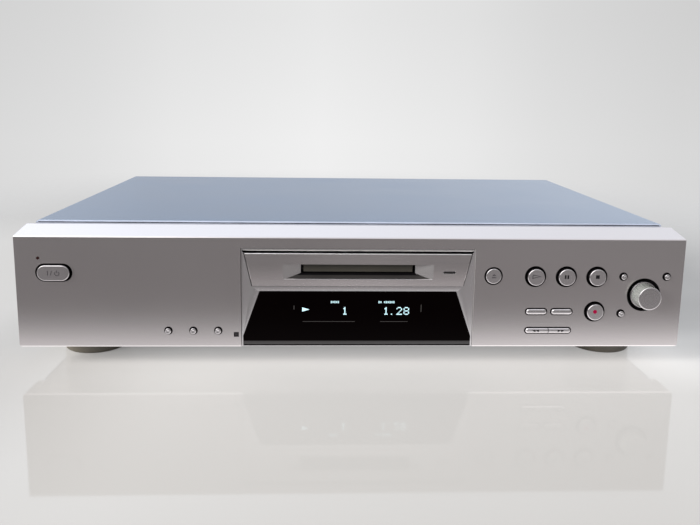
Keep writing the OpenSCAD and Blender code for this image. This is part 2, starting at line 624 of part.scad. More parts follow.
module turntable() color("whitesmoke") at() {
  cz(xc, dc_y, 5.6, 41.8, 43.2);
  cz(xc, dc_y, 3.2, 43.1, 44.4);
  translate([xc, dc_y, 44.4]) cylinder(r1 = 3.2, r2 = 2.2, h = 0.5);
  cz(xc, dc_y, 1.0, 38.6, 42);
}
module pickup_sled() color("slategray") at() {
  difference() {
    union() {
      box([xc + 12, 33, 39.4], [xc + 22, 70, 42.6]);
      box([xc + 12.5, 45, 38.1], [xc + 21.5, 58, 39.6]);
      cz(xc + 17, dc_y, 3, 42.5, 43.3);
      cz(xc + 17, dc_y, 1.9, 43.2, 43.6);
    }
    cx(36.5, 41, 1.56, xc + 10, xc + 24);
    cx(66.5, 41, 1.55, xc + 10, xc + 24);
  }
}
module guide_rod() color("silver") at() cx(66.5, 41, 1.5, xc - 16, xc + 38.5);
module lead_screw() color("silver") at() {
  cx(36.5, 41, 1.5, xc - 17.4, xc + 38.4);
  cx(36.5, 41, 1.0, xc - 26, xc - 17.3);
}
module sled_motor() color("lightgray") at() {
  difference() {
    union() {
      cx(36.5, 41, 3.0, xc - 30, xc - 18);
      box([xc - 29, 34.5, 37.5], [xc - 19, 38.5, 39]);
    }
    cx(36.5, 41, 1.06, xc - 27, xc - 17);
  }
}
module head_arm() color("silver") at() {
  difference() {
    union() {
      box([xc + 16, 49, 57.4], [xc + 24, 97, 58.4]);
      box([xc + 17, 49, 56], [xc + 23, 54, 57.6]);
      cx(97, 58, 1.7, xc + 12, xc + 28);
    }
    cx(97, 58, 1.06, xc + 10, xc + 30);
  }
}

front_panel();
centre_frame();
slot_panel();
display_window();
standby_lamp();
disc_lamp();
slot_door();
door_spring();
power_button();
mode_button();
repeat_button();
scroll_button();
eject_button();
play_button();
pause_button();
stop_button();
record_button();
menu_button();
enter_button();
clear_button();
input_button();
rec_mode_button();
rewind_button();
forward_button();
jog_knob();
knob_shaft();
encoder_rotor();
knob_encoder();
front_board();
switch_set();
display_tube();
top_cover();
chassis();
rear_panel();
foot_front_left();
foot_front_right();
foot_rear_left();
foot_rear_right();
screws();
jack_block();
jack_shells();
optical_sockets();
cord_gland();
main_board();
transformer_core();
transformer_coil();
mech_frame();
cartridge_holder();
slide_cam();
drive_gear();
loading_motor();
motor_pinion();
spindle_motor();
turntable();
pickup_sled();
guide_rod();
lead_screw();
sled_motor();
head_arm();
ribbon_cable();
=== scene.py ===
import bpy, bmesh, json, math, random
from mathutils import Vector, Matrix

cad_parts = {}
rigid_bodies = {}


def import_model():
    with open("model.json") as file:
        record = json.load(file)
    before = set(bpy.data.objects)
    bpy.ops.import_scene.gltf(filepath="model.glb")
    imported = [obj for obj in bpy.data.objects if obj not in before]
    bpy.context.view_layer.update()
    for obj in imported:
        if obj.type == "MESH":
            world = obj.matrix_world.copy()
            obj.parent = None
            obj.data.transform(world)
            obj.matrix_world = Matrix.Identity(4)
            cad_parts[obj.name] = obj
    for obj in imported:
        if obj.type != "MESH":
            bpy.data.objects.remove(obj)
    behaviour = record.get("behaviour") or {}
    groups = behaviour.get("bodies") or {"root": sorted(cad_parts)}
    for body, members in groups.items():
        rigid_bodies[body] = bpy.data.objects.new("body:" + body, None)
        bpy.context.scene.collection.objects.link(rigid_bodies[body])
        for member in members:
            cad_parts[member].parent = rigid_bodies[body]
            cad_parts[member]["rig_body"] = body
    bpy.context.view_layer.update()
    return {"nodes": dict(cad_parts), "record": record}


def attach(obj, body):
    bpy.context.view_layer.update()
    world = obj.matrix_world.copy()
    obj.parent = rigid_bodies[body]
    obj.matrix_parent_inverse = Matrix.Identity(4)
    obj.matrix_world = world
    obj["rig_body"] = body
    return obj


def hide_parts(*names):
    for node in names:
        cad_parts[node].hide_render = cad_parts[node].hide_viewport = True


random.seed(7)
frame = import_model()
N = frame["nodes"]
MM = 0.001
YO, ZO, XC = -132.0, 16.0, 1.8      # panel datum to row frame, mm


def P(x, y, z):
    return Vector((x * MM, (y + YO) * MM, (z + ZO) * MM))


# ------------------------------------------------------------------ materials
def srgb(r, g, b):
    def f(c):
        c = c / 255.0
        return c / 12.92 if c <= 0.04045 else ((c + 0.055) / 1.055) ** 2.4
    return (f(r), f(g), f(b), 1.0)


class Mat:
    """A Principled material with procedural colour, roughness and bump."""

    def __init__(self, name, base, metallic=0.0, rough=0.5, **kw):
        self.m = bpy.data.materials.new(name)
        self.m.use_nodes = True
        self.t = self.m.node_tree
        self.b = self.t.nodes["Principled BSDF"]
        self.base = base
        self.b.inputs["Base Color"].default_value = base
        self.b.inputs["Metallic"].default_value = metallic
        self.b.inputs["Roughness"].default_value = rough
        for k, v in kw.items():
            self.b.inputs[k].default_value = v
        self.rough = rough
        self.tc = self.t.nodes.new("ShaderNodeTexCoord")

    def node(self, kind, **props):
        n = self.t.nodes.new(kind)
        for k, v in props.items():
            setattr(n, k, v)
        return n

    def link(self, a, b):
        self.t.links.new(a, b)

    def coords(self, scale=(1, 1, 1)):
        mp = self.node("ShaderNodeMapping")
        mp.inputs["Scale"].default_value = scale
        self.link(self.tc.outputs["Object"], mp.inputs["Vector"])
        return mp.outputs["Vector"]

    def noise(self, scale, detail=3.0, rough=0.5, stretch=(1, 1, 1)):
        n = self.node("ShaderNodeTexNoise")
        n.inputs["Scale"].default_value = scale
        n.inputs["Detail"].default_value = detail
        n.inputs["Roughness"].default_value = rough
        self.link(self.coords(stretch), n.inputs["Vector"])
        return n.outputs["Fac"]

    def ramp(self, fac, lo, hi, a, b):
        r = self.node("ShaderNodeMapRange")
        r.inputs["From Min"].default_value = lo
        r.inputs["From Max"].default_value = hi
        r.inputs["To Min"].default_value = a
        r.inputs["To Max"].default_value = b
        self.link(fac, r.inputs["Value"])
        return r.outputs["Result"]

    def vary_colour(self, fac, amount=0.06, tint=None):
        """Base colour moves by +-amount along fac."""
        mix = self.node("ShaderNodeMix", data_type="RGBA")
        c = self.base
        dark = [max(0, v * (1 - amount)) for v in c[:3]] + [1]
        lite = [min(1, v * (1 + amount)) for v in c[:3]] + [1]
        if tint:
            lite = [min(1, a * b) for a, b in zip(lite[:3], tint)] + [1]
        mix.inputs[6].default_value = dark
        mix.inputs[7].default_value = lite
        self.link(self.ramp(fac, 0.3, 0.7, 0, 1), mix.inputs[0])
        self.link(mix.outputs[2], self.b.inputs["Base Color"])
        self.colour_out = mix.outputs[2]
        return mix

    def vary_rough(self, fac, amount=0.05):
        out = self.ramp(fac, 0.3, 0.7, self.rough - amount, self.rough + amount)
        self.link(out, self.b.inputs["Roughness"])
        self.rough_out = out

    def bump(self, facs, distance=0.00002, strength=0.3):
        prev = None
        for fac, d, s in facs:
            bn = self.node("ShaderNodeBump")
            bn.inputs["Distance"].default_value = d
            bn.inputs["Strength"].default_value = s
            self.link(fac, bn.inputs["Height"])
            if prev is not None:
                self.link(prev, bn.inputs["Normal"])
            prev = bn.outputs["Normal"]
        self.link(prev, self.b.inputs["Normal"])


def metallic_paint(name, base, rough=0.36, metallic=0.85, flake=1.0, blotch=0.012, haze=0.015):
    m = Mat(name, base, metallic, rough)
    fine = m.noise(1100, 2.0, 0.5)
    big = m.noise(14, 3.0, 0.5)
    both = m.node("ShaderNodeMix", data_type="FLOAT")
    both.inputs[0].default_value = 0.5
    m.link(fine, both.inputs[2])
    m.link(big, both.inputs[3])
    m.vary_colour(both.outputs[0], blotch)
    m.vary_rough(big, haze)
    m.bump([(fine, 0.0000008 * flake, 0.1)])
    return m.m


def plastic(name, base, rough=0.45, grain=0.00003, grain_scale=1500, **kw):
    m = Mat(name, base, 0.0, rough, **kw)
    g = m.noise(grain_scale, 3.0, 0.6)
    m.vary_colour(m.noise(45, 4), 0.10)
    m.vary_rough(m.noise(70, 4), min(0.06, rough * 0.3))
    m.bump([(g, grain, 0.35)])
    return m.m


def metal(name, base, rough=0.3, brush=None, streak=0.07, **kw):
    m = Mat(name, base, 1.0, rough, **kw)
    if brush:
        lines = m.noise(1.0, 3.0, 0.7, brush)
        m.vary_rough(lines, 0.10)
        m.vary_colour(lines, streak)
        m.bump([(lines, 0.00001, 0.4)])
    else:
        g = m.noise(900, 3)
        m.vary_rough(m.noise(60, 4), 0.07)
        m.vary_colour(m.noise(35, 4), 0.06)
        m.bump([(g, 0.00001, 0.25)])
    return m.m


def spun(name, base, centre, rough=0.28, scale=1400):
    """Turned metal: fine rings about the axis along Y through centre."""
    m = Mat(name, base, 1.0, rough)
    sub = m.node("ShaderNodeVectorMath", operation="SUBTRACT")
    sub.inputs[1].default_value = centre
    m.link(m.tc.outputs["Object"], sub.inputs[0])
    mul = m.node("ShaderNodeVectorMath", operation="MULTIPLY")
    mul.inputs[1].default_value = (1, 0, 1)
    m.link(sub.outputs[0], mul.inputs[0])
    ln = m.node("ShaderNodeVectorMath", operation="LENGTH")
    m.link(mul.outputs[0], ln.inputs[0])
    n = m.node("ShaderNodeTexNoise", noise_dimensions="1D")
    n.inputs["Scale"].default_value = scale
    n.inputs["Detail"].default_value = 3
    m.link(ln.outputs["Value"], n.inputs["W"])
    m.vary_rough(n.outputs["Fac"], 0.02)
    m.vary_colour(n.outputs["Fac"], 0.012)
    m.bump([(n.outputs["Fac"], 0.0000006, 0.1)])
    return m.m


M = {}
M["fascia_silver"] = metallic_paint("fascia_silver", srgb(205, 199, 199), 0.21, 0.96)
M["frame_silver"] = metallic_paint("frame_silver", srgb(222, 218, 219), 0.21, 0.96)
M["button_silver"] = metallic_paint("button_silver", srgb(206, 201, 202), 0.22, 0.96, 0.6)
# cover_paint: blue-grey silver; part of its blue is painted reflection of cool window light
M["cover_paint"] = metallic_paint("cover_paint", srgb(135, 154, 180), 0.22, 0.97, 1.4, 0.02, 0.02)
# painted shade: near-black on hole walls, gaps, cap sides and hidden flanges, where only shadow falls
M["painted_gap_shade"] = plastic("painted_gap_shade", srgb(7, 6, 7), 0.6, 0.00001)
M["painted_gap_shade"].node_tree.nodes["Principled BSDF"].inputs["Specular IOR Level"].default_value = 0.1
# painted shade: dark grey for the slot's ledge, which lies in the recess's shadow
M["shade"] = plastic("shade", srgb(40, 38, 37), 0.4, 0.00001)
M["shade"].node_tree.nodes["Principled BSDF"].inputs["Specular IOR Level"].default_value = 0.3
# painted light: a paler matte copy of the cover paint for its front edge, lifting the dark that edge would show
M["cover_edge_painted_light"] = plastic("cover_edge_painted_light", srgb(160, 167, 183), 0.45, 0.000004)
M["knob_flank"] = metal("knob_flank", srgb(190, 192, 187), 0.28, (1300, 15, 1300), 0.16)
M["knob_flank"].node_tree.nodes["Principled BSDF"].inputs["Metallic"].default_value = 0.72
# painted light: a brighter, more diffuse copy of the silver for the slot's side walls, which catch more light
M["funnel_side_painted_light"] = metallic_paint("funnel_side_painted_light", srgb(206, 202, 202), 0.26, 0.90)
# painted light: pale matte grey on the groove above the slot panel, lifting its shadow to mid grey
M["groove_painted_light"] = plastic("groove_painted_light", srgb(228, 224, 222), 0.5, 0.00001)
# painted shade: mid grey on the walls of the seam between frame and panel
M["seam_painted_shade"] = plastic("seam_painted_shade", srgb(135, 132, 131), 0.5, 0.00001)
# painted highlight: a paler copy of the silver on the slot panel's upturned edges
M["edge_painted_highlight"] = metallic_paint("edge_painted_highlight", srgb(248, 246, 246), 0.42, 0.94)


def painted_light_silver(name, base, z0, z1, low_gain, mid_gain, rough=0.21):
    """Silver paint with painted reflected light: paler from z0 down to z1 (panel mm) and towards the middle."""
    m = metallic_paint(name, base, rough, 0.96)
    t = m.node_tree
    b = t.nodes["Principled BSDF"]
    col = b.inputs["Base Color"].links[0].from_socket
    tc = [n for n in t.nodes if n.type == "TEX_COORD"][0]
    sep = t.nodes.new("ShaderNodeSeparateXYZ")
    t.links.new(tc.outputs["Object"], sep.inputs[0])

    def rng(sock, lo, hi, a, b2):
        r = t.nodes.new("ShaderNodeMapRange")
        r.interpolation_type = "SMOOTHSTEP"
        for k, v in zip(("From Min", "From Max", "To Min", "To Max"), (lo, hi, a, b2)):
            r.inputs[k].default_value = v
        t.links.new(sock, r.inputs["Value"])
        return r.outputs["Result"]
    off = t.nodes.new("ShaderNodeMath")
    off.operation = "SUBTRACT"
    off.inputs[1].default_value = XC * MM
    t.links.new(sep.outputs["X"], off.inputs[0])
    ab = t.nodes.new("ShaderNodeMath")
    ab.operation = "ABSOLUTE"
    t.links.new(off.outputs[0], ab.inputs[0])
    mul = t.nodes.new("ShaderNodeMath")
    mul.operation = "MULTIPLY"
    t.links.new(rng(sep.outputs["Z"], (z1 + ZO) * MM, (z0 + ZO) * MM, low_gain, 1.0), mul.inputs[0])
    t.links.new(rng(ab.outputs[0], 0.008, 0.058, mid_gain, 1.0), mul.inputs[1])
    sc = t.nodes.new("ShaderNodeVectorMath")
    sc.operation = "SCALE"
    t.links.new(col, sc.inputs[0])
    t.links.new(mul.outputs[0], sc.inputs["Scale"])
    t.links.new(sc.outputs[0], b.inputs["Base Color"])
    return m


M["slot_silver_painted_light"] = painted_light_silver("slot_silver_painted_light", srgb(203, 197, 197), 56.0, 41.0, 1.45, 1.14)
M["band_silver_painted_light"] = painted_light_silver("band_silver_painted_light", srgb(222, 218, 219), 40.6, 37.6, 1.38, 1.08)
M["window_edge"] = plastic("window_edge", srgb(30, 27, 27), 0.2, 0.000002)
M["window_black"] = plastic("window_black", srgb(2.6, 0.8, 1), 0.07, 0.000002, 60)
M["window_black"].node_tree.nodes["Principled BSDF"].inputs["Specular IOR Level"].default_value = 0.03
M["lamp_red"] = plastic("lamp_red", srgb(38, 14, 14), 0.2, 0.000003)
M["lamp_dark"] = plastic("lamp_dark", srgb(28, 26, 27), 0.25, 0.000003)
M["door_grey"] = plastic("door_grey", srgb(58, 55, 49), 0.42, 0.00002)
M["spring_steel"] = metal("spring_steel", srgb(150, 150, 155), 0.3)
M["knob_silver"] = spun("knob_silver", srgb(206, 201, 202), P(189.5, 0, 35.6), 0.28)
M["shaft_steel"] = metal("shaft_steel", srgb(165, 165, 170), 0.3)
M["plastic_ivory"] = plastic("plastic_ivory", srgb(226, 220, 202), 0.4)
M["plastic_black"] = plastic("plastic_black", srgb(26, 26, 28), 0.42)
M["board_green"] = plastic("board_green", srgb(28, 96, 54), 0.32, 0.00003, 700)
M["tube_glass"] = plastic("tube_glass", srgb(30, 36, 40), 0.08, 0.000002, 80)
M["sheet_steel"] = metal("sheet_steel", srgb(186, 187, 190), 0.38, (30, 900, 900))
M["foot_plastic"] = plastic("foot_plastic", srgb(74, 69, 60), 0.38, 0.00004, 900)
M["screw_steel"] = metal("screw_steel", srgb(120, 120, 126), 0.34)
M["jack_plate"] = metal("jack_plate", srgb(224, 196, 128), 0.22)
M["coil_tape"] = plastic("coil_tape", srgb(214, 186, 92), 0.35)
M["core_steel"] = metal("core_steel", srgb(112, 106, 104), 0.5, (40, 2200, 40))
M["cable_white"] = plastic("cable_white", srgb(220, 220, 210), 0.4)

slots = {s["node"]: s["material_slot"] for s in frame["record"]["subparts"]}


def dress(obj, mat):
    obj.data.materials.clear()
    obj.data.materials.append(mat)


# ------------------------------------------------- refined copies of CAD nodes
def refine(node, width=0.25, segments=2, limit=28, inner=None, soft=None, skip=None):
    """A cleaned copy of a CAD node with small rounded edges, standing where it is."""
    src = N[node]
    bm = bmesh.new()
    bm.from_mesh(src.data)
    bmesh.ops.remove_doubles(bm, verts=bm.verts, dist=2e-6)
    bmesh.ops.dissolve_limit(bm, angle_limit=math.radians(0.4), verts=bm.verts, edges=bm.edges)
    bmesh.ops.recalc_face_normals(bm, faces=bm.faces)
    for pick, wide in soft or ():
        # edges that are rounder than the rest
        es = [e for e in bm.edges if len(e.link_faces) == 2 and e.calc_face_angle(0) > math.radians(limit)
              and all(pick(v.co.x / MM, v.co.y / MM - YO, v.co.z / MM - ZO) for v in e.verts)]
        bmesh.ops.bevel(bm, geom=es, offset=wide * MM, offset_type="OFFSET", segments=4, profile=0.5, affect="EDGES",
                        clamp_overlap=False, miter_outer="SHARP")
    edges = [e for e in bm.edges if len(e.link_faces) == 2 and e.calc_face_angle(0) > math.radians(limit)
             and not (skip and all(skip(v.co.x / MM, v.co.y / MM - YO, v.co.z / MM - ZO) for v in e.verts))]
    if width and edges:
        bmesh.ops.bevel(bm, geom=edges, offset=width * MM, offset_type="OFFSET", segments=segments,
                        profile=0.5, affect="EDGES", clamp_overlap=True, miter_outer="SHARP")
    which = []
    for f in bm.faces:
        f.smooth = True
        c = f.calc_center_median()
        which.append(inner(c.x / MM, c.y / MM - YO, c.z / MM - ZO, f.normal) if inner is not None else 0)
    me = bpy.data.meshes.new(node + "_form")
    bm.to_mesh(me)
    bm.free()
    me.set_sharp_from_angle(angle=math.radians(32))
    ob = bpy.data.objects.new(node + "_form", me)
    bpy.context.scene.collection.objects.link(ob)
    dress(ob, M[slots[node]])
    if inner is not None:
        for extra in ("painted_gap_shade", "shade", "window_edge", "cover_edge_painted_light", "knob_flank", "funnel_side_painted_light", "groove_painted_light", "band_silver_painted_light", "edge_painted_highlight", "seam_painted_shade"):
            ob.data.materials.append(M[extra])
        me.polygons.foreach_set("material_index", which)
    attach(ob, src["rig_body"])
    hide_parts(node)
    wn = ob.modifiers.new("weighted", "WEIGHTED_NORMAL")
    wn.keep_sharp = True
    wn.weight = 50
    return ob


for name, ob in N.items():
    dress(ob, M[slots[name]])
    me = ob.data
    for p in me.polygons:
        p.use_smooth = True

FORM = {}
bev = {"front_panel": 0.30, "centre_frame": 0.22, "slot_panel": 0.20, "display_window": 0.15, "slot_door": 0.15,
       "power_button": 0.12, "top_cover": 0.30, "rear_panel": 0.15, "jog_knob": 0.12,
       "foot_front_left": 0.5, "foot_front_right": 0.5, "foot_rear_left": 0.5, "foot_rear_right": 0.5,
       "screws": 0.10, "jack_block": 0.2, "jack_shells": 0.15, "optical_sockets": 0.25, "cord_gland": 0.3,
       "chassis": 0.15, "disc_lamp": 0.1, "standby_lamp": 0.1}
for b in ("mode", "repeat", "scroll", "menu", "enter", "clear", "eject", "play", "pause", "stop", "record",
          "input", "rec_mode", "rewind", "forward"):
    bev[b + "_button"] = 0.08


# Cap side walls and flanges deeper than 0.45 mm take the painted gap shade.
def behind_cap(x, y, z, n):
    return 1 if y > 0.45 else 0


# Seam walls beside the frame take painted mid-grey shade; faces behind the front take painted gap shade.
def behind_face(x, y, z, n):
    if 75.1 < abs(x - XC) < 76.5 and abs(n.x) > 0.7:
        return 10
    return 1 if y > 0.7 and abs(x) < 213.5 and z < 71.8 and z > 0.6 else 0


# Groove walls take pale painted light, the band its graded painted light, seam walls painted mid-grey shade, inner
# faces painted gap shade.
def frame_part(x, y, z, n):
    if n.y < -0.7 and 2.2 < y < 2.45 and z > 63.4:
        return 7
    if n.y < -0.3 and abs(n.z) > 0.08 and 37.2 < z < 41.0 and abs(x - XC) < 66 and y < 1.5:
        return 8
    if abs(x - XC) > 75.1 and y < 3.2 and abs(n.x) > 0.7:
        return 10
    if y > 2.35 or (y > 0.95 and (abs(n.z) > 0.7 or abs(n.x) > 0.7)):
        return 1
    return 7 if y > 2.2 and z > 62.5 else (1 if y > 1.2 else 0)


# Upturned edges take the painted highlight, inner faces painted gap shade, the ledge painted shade, the side walls
# their painted-light copy.
def slot_part(x, y, z, n):
    if n.z > 0.2 and y < 0.6 and (z > 61.9 or 44.2 < z < 46.0):
        return 9
    if y > 4.6 or (y > 0.6 and z > 61.9) or (y > 1.2 and (z < 41.0 or z > 62)) or (y > 0.8 and abs(x - XC) > 66 and abs(n.x) > 0.7):
        return 1
    if n.z > 0.6 and y > 3.4 and 44.5 < z < 52:
        return 1
    if n.z > 0.6 and 45.7 < z < 52 and y > 0.5:
        return 2
    return 6 if abs(n.x) > 0.2 and n.y < -0.5 and y > 0.3 and 44.5 < z < 60 and abs(x - XC) < 51 else 0


def window_part(x, y, z, n):
    return 3 if n.z < -0.2 and z < 5 else 0


# The cover's front edge takes its paler painted-light copy.
def cover_part(x, y, z, n):
    return 4 if y < 28.7 and n.y < -0.25 else 0


# Faces behind the knob's front take painted gap shade; the flank takes its own brushed metal.
def knob_part(x, y, z, n):
    if y > 0.6:
        return 1
    return 5 if -0.6 < n.y < 0.4 and y < -0.9 else 0


inner_of = {"top_cover": cover_part, "jog_knob": knob_part, "front_panel": behind_face, "centre_frame": frame_part, "slot_panel": slot_part, "display_window": window_part}
for n in bev:
    if n.endswith("_button"):
        inner_of[n] = behind_cap
# hairline steps too fine to round
skip_of = {"centre_frame": lambda x, y, z: y < 1.0 and 37.0 < z < 40.9}
soft_of = {"top_cover": [(lambda x, y, z: y < 27.75 and z > 77.7, 0.6)],
           "slot_panel": [(lambda x, y, z: y < 0.2 and 44.9 < z < 59.9 and abs(x - XC) > 40, 0.45),
                          (lambda x, y, z: y < 0.45 and 61.9 < z, 0.28)]}
for n, w in bev.items():
    FORM[n] = refine(n, w, inner=inner_of.get(n), soft=soft_of.get(n), skip=skip_of.get(n))
FORM["slot_panel"].data.materials[0] = M["slot_silver_painted_light"]


# ----------------------------------------------------------- small flat marks
def flat_piece(name, polys, y, body, mat, thick=0.05):
    """Thin plates in the XZ plane: polys are lists of (x, z) in panel mm; faces -Y at y."""
    bm = bmesh.new()
    for pts in polys:
        front = [bm.verts.new(P(x, y - thick, z)) for x, z in pts]
        back = [bm.verts.new(P(x, y + 0.01, z)) for x, z in pts]
        bm.faces.new(front)
        bm.faces.new(list(reversed(back)))
        n = len(pts)
        for i in range(n):
            j = (i + 1) % n
            bm.faces.new((front[j], front[i], back[i], back[j]))
    bmesh.ops.recalc_face_normals(bm, faces=bm.faces)
    me = bpy.data.meshes.new(name)
    bm.to_mesh(me)
    bm.free()
    ob = bpy.data.objects.new(name, me)
    bpy.context.scene.collection.objects.link(ob)
    dress(ob, mat)
    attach(ob, body)
    return ob


def rect(x, z, w, h):
    return [(x - w / 2, z - h / 2), (x + w / 2, z - h / 2), (x + w / 2, z + h / 2), (x - w / 2, z + h / 2)]


def frame_of(pts, w):
    """Outline strips along a closed polygon, as quads of width w inside it."""
    out = []
    n = len(pts)
    cx = sum(p[0] for p in pts) / n
    cz = sum(p[1] for p in pts) / n

    def inset(p, q, r):
        a = Vector((q[0] - p[0], q[1] - p[1])).normalized()
        b = Vector((r[0] - q[0], r[1] - q[1])).normalized()
        na, nb = Vector((-a.y, a.x)), Vector((-b.y, b.x))
        k = na + nb
        k = k / max(0.2, k.length_squared / 2)
        return (q[0] + k.x * w, q[1] + k.y * w)
    area = sum(pts[i][0] * pts[(i + 1) % n][1] - pts[(i + 1) % n][0] * pts[i][1] for i in range(n))
    if area < 0:
        pts = list(reversed(pts))
    ins = [inset(pts[i - 1], pts[i], pts[(i + 1) % n]) for i in range(n)]
    for i in range(n):
        j = (i + 1) % n
        out.append([pts[i], pts[j], ins[j], ins[i]])
    return out


def disc(x, z, r, n=28):
    return [(x + r * math.cos(2 * math.pi * i / n), z + r * math.sin(2 * math.pi * i / n)) for i in range(n)]


INK = plastic("ink_dark", srgb(22, 20, 22), 0.6, 0.000002)
INK_SOFT = plastic("ink_soft", srgb(58, 56, 58), 0.6, 0.000002)
RED = plastic("ink_red", srgb(132, 6, 50), 0.55, 0.000002)
for ink in (INK, INK_SOFT, RED):
    ink.node_tree.nodes["Principled BSDF"].inputs["Specular IOR Level"].default_value = 0.12
BR = -2.5
# transport icons
flat_piece("icon_play", frame_of([(114.39, 49.70), (114.19, 46.81), (120.28, 48.40)], 0.55), BR, "play_button", INK_SOFT, 0.03)
flat_piece("icon_pause", [rect(135.99, 48.10, 1.1, 2.5), rect(137.73, 48.10, 1.1, 2.5)], BR, "pause_button", INK, 0.03)
flat_piece("icon_stop", [rect(157.18, 48.20, 2.4, 2.4)], BR, "stop_button", INK, 0.03)
flat_piece("icon_record", [disc(156.98, 24.76, 1.3)], BR, "record_button", RED, 0.04)
flat_piece("icon_eject", frame_of([(88.24, 48.26), (91.04, 48.26), (89.64, 49.66)], 0.42) + [rect(89.64, 47.17, 2.8, 0.6)], -1.1, "eject_button", INK_SOFT, 0.03)
for nm, xm, s in (("icon_rewind", 118.8, -1), ("icon_forward", 135.65, 1)):
    tri = []
    for dx in (-1.15, 1.15):
        tri.append([(xm + dx - 1.05 * s, 11.35 + 0.85), (xm + dx - 1.05 * s, 11.35 - 0.85), (xm + dx + 1.05 * s, 11.35)])
    flat_piece(nm, tri, -1.4, "rewind_button" if s < 0 else "forward_button", INK, 0.03)
# power symbol: bar, stroke and broken ring
arc = []
for i in range(20):
    a0 = math.radians(125 + i * 14.5)
    a1 = math.radians(125 + (i + 1) * 14.5)
    arc.append([(-188.29 + 1.1 * math.cos(a0), 49.15 + 1.1 * math.sin(a0)), (-188.29 + 1.1 * math.cos(a1), 49.15 + 1.1 * math.sin(a1)),
                (-188.29 + 1.6 * math.cos(a1), 49.15 + 1.6 * math.sin(a1)), (-188.29 + 1.6 * math.cos(a0), 49.15 + 1.6 * math.sin(a0))])
stroke = [(-192.6, 47.85), (-192.1, 47.85), (-191.3, 50.95), (-191.8, 50.95)]
flat_piece("icon_power", arc + [rect(-188.29, 50.35, 0.5, 1.7), rect(-194.09, 49.40, 0.6, 3.0), stroke], -2.2, "power_button", INK_SOFT, 0.03)
flat_piece("mark_square", [rect(-76.8, 8.4, 3.2, 3.15)], 0.0, "cabinet", INK, 0.02)
flat_piece("mark_square_inner", [rect(-76.8, 8.75, 1.7, 0.35), rect(-76.8, 8.05, 1.7, 0.35)], -0.02, "cabinet", INK_SOFT, 0.02)

# ------------------------------------------------------------ lit display
def glow(name, colour, strength):
    m = Mat(name, (0.01, 0.01, 0.01, 1), 0.0, 0.4)
    n = m.noise(900, 2)
    mix = m.node("ShaderNodeMix", data_type="RGBA")
    mix.inputs[6].default_value = [c * 0.85 for c in colour[:3]] + [1]
    mix.inputs[7].default_value = colour
    m.link(n, mix.inputs[0])
    m.link(mix.outputs[2], m.b.inputs["Emission Color"])
    m.b.inputs["Emission Strength"].default_value = strength
    return m.m


LIT = glow("display_lit", (0.62, 0.93, 1.0, 1), 1.5)
LIT2 = glow("display_lit_small", (0.62, 0.93, 1.0, 1), 1.0)
# painted light: the unlit marks behind the window glow faintly in place of the light they catch
UNLIT_GLOW = glow("display_unlit_painted_glow", (0.90, 0.80, 0.70, 1), 0.035)
WIN_Y = 0.5
DOTS = {"1": ["..X..", ".XX..", "..X..", "..X..", "..X..", "..X..", ".XXX."],
        "2": [".XXX.", "X...X", "....X", "...X.", "..X..", ".X...", "XXXXX"],
        "8": [".XXX.", "X...X", "X...X", ".XXX.", "X...X", "X...X", ".XXX."]}


def dots(ch, x0, z0, w, h):
    """A 5 by 7 dot character from its lower left corner."""
    out = []
    rows = DOTS[ch]
    for r, row in enumerate(rows):
        for c, v in enumerate(row):
            if v == "X":
                out.append(rect(x0 + (c + 0.5) * w / 5, z0 + h - (r + 0.5) * h / 7, w / 5 * 0.86, h / 7 * 0.9))
    return out


DISP = []
DISP += dots("1", -8.5, 21.6, 3.7, 5.2)
DISP += dots("1", 18.3, 21.6, 3.7, 5.2)
DISP += [rect(23.75, 22.0, 0.75, 0.75)]
DISP += dots("2", 26.9, 21.6, 3.7, 5.2)
DISP += dots("8", 31.55, 21.6, 3.7, 5.2)
flat_piece("display_digits", DISP, WIN_Y, "cabinet", LIT, 0.03)
flat_piece("display_play", [[(-34.3, 26.5), (-34.3, 23.7), (-29.6, 25.1)]], WIN_Y, "cabinet", LIT, 0.03)
cells = []
for x0, w, n in ((-16.0, 5.6, 5), (14.9, 10.8, 9)):
    for i in range(n):
        if n == 9 and i == 2:
            continue
        cells.append(rect(x0 + (i + 0.5) * w / n, 30.1, w / n * 0.74, 1.25 if i % 2 else 1.5))
flat_piece("display_cells", cells, WIN_Y, "cabinet", LIT2, 0.03)
flat_piece("display_unlit", [rect(-39.6, 26.4, 0.5, 2.6), rect(43.0, 26.0, 0.45, 5.0), rect(-17.0, 17.0, 34, 0.3), rect(25.4, 17.0, 18, 0.3)], WIN_Y, "cabinet", UNLIT_GLOW, 0.02)

# ------------------------------------------------------------------ stage
SOFTBOX = 0.95
LAMP = 2.6
ROOM = (0.225, 0.215, 0.217, 1)


